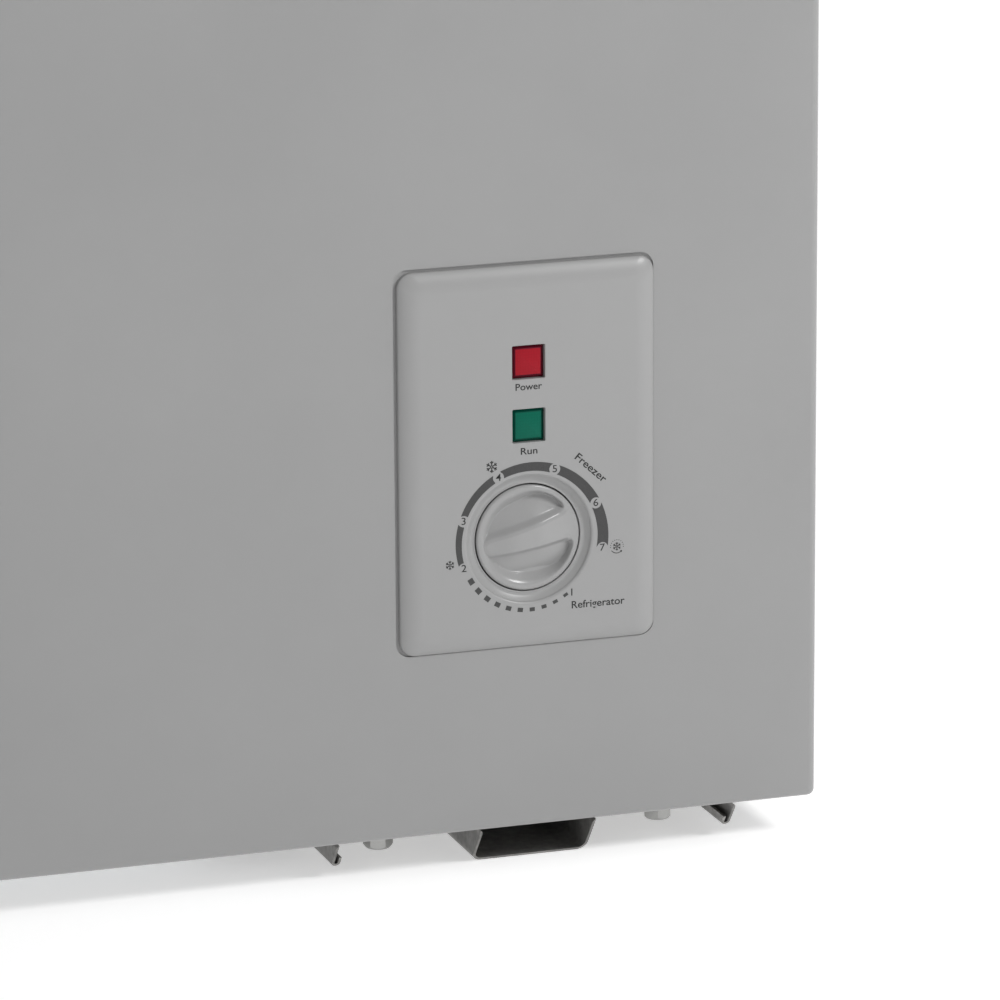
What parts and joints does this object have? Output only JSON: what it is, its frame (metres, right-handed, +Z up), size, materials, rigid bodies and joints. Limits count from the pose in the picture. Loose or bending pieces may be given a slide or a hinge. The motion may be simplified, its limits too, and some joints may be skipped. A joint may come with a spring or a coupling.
{
  "type": "chest freezer",
  "caption": "Grey chest freezer with a hinged top lid, wire basket, insulated well with a step over the machine compartment, and a dial thermostat plate low on the front.",
  "frame": {"origin": "On the floor, under the centre of the bounding box", "axes": "+Z up, the front faces -Y, +X to the right as seen from the front"},
  "size_m": [0.945, 0.601, 0.85],
  "materials": {
    "cabinet_paint": "satin grey",
    "galvanised": "zinc coated sheet",
    "zinc": "bright zinc plate",
    "rail_paint": "dark satin",
    "black_paint": "semi-gloss black",
    "liner": "white embossed",
    "foam": "cellular",
    "rim_plastic": "white",
    "grey_plastic": "fine grain",
    "knob_plastic": "satin",
    "black_plastic": "fine grain",
    "white_plastic": "satin",
    "gasket": "matte",
    "rubber": "matte",
    "copper": "drawn tube",
    "red_lens": "tinted translucent plastic",
    "green_lens": "tinted translucent plastic",
    "cable": "PVC",
    "steel": "machined",
    "wire_coat": "dip coated"
  },
  "bodies": {
    "cabinet": {"back_panel": "galvanised", "bottom_panel": "galvanised", "cabinet_screws": "zinc", "capillary_tube": "copper", "compressor_bolts": "zinc", "compressor_grommets": "rubber", "compressor_lower_shell": "black_paint", "compressor_motor_pump": "steel", "compressor_rail": "rail_paint", "compressor_upper_shell": "black_paint", "condenser_tube": "steel", "control_plate": "grey_plastic", "discharge_line": "copper", "drain_pipe": "white_plastic", "evaporator_tube": "steel", "filter_drier": "copper", "hinge_bracket_left": "zinc", "hinge_bracket_right": "zinc", "hinge_pins": "steel", "hinge_springs": "steel", "inner_liner": "liner", "insulation_foam": "foam", "lamp_housings": "white_plastic", "left_foot_rail": "rail_paint", "lock_strike": "zinc", "machine_bay_liner": "galvanised", "mains_inlet_gland": "black_plastic", "outer_shell": "cabinet_paint", "power_lamp_lens": "red_lens", "process_tube": "copper", "rail_bolts": "zinc", "rear_cross_member": "galvanised", "rear_grille": "black_paint", "rim_frame": "rim_plastic", "run_lamp_lens": "green_lens", "side_grille": "grey_plastic", "start_relay_box": "black_plastic", "suction_line": "copper", "terminal_block": "white_plastic", "thermostat_body": "steel", "thermostat_bulb_tube": "copper", "wiring_loom": "cable"},
    "lid": {"lid_skin": "cabinet_paint", "lid_frame": "rim_plastic", "lid_gasket": "gasket", "lid_inner_panel": "liner", "lid_foam": "foam", "lid_handle": "grey_plastic", "hinge_leaf_left": "zinc", "hinge_leaf_right": "zinc", "hinge_leaf_screws": "zinc"},
    "lock": {"lock_barrel": "zinc", "lock_cam": "zinc"},
    "knob": {"thermostat_knob": "knob_plastic", "thermostat_shaft": "steel"},
    "basket": {"basket_wires": "wire_coat", "basket_grips": "grey_plastic"},
    "drain_plug": {"drain_plug": "rubber"},
    "drain_cap": {"drain_cap": "black_plastic"}
  },
  "joints": [
    {"name": "lid_hinge", "type": "hinge", "parent": "cabinet", "child": "lid", "pos_m": [0, 0.2875, 0.794], "axis": [-1, 0, 0], "range_deg": [0, 85]},
    {"name": "lock_turn", "type": "hinge", "parent": "lid", "child": "lock", "pos_m": [0, -0.29, 0.784], "axis": [0, -1, 0], "range_deg": [0, 90]},
    {"name": "thermostat_turn", "type": "hinge", "parent": "cabinet", "child": "knob", "pos_m": [0.3493, -0.27, 0.1306], "axis": [0, -1, 0], "range_deg": [-197, 120]},
    {"name": "basket_slide", "type": "slide", "parent": "cabinet", "child": "basket", "axis": [1, 0, 0], "range_m": [-0.615, 0.004]},
    {"name": "drain_plug_pull", "type": "slide", "parent": "cabinet", "child": "drain_plug", "axis": [0, 0, 1], "range_m": [0, 0.03]},
    {"name": "drain_cap_pull", "type": "slide", "parent": "cabinet", "child": "drain_cap", "axis": [0, 1, 0], "range_m": [0, 0.015]}
  ]
}
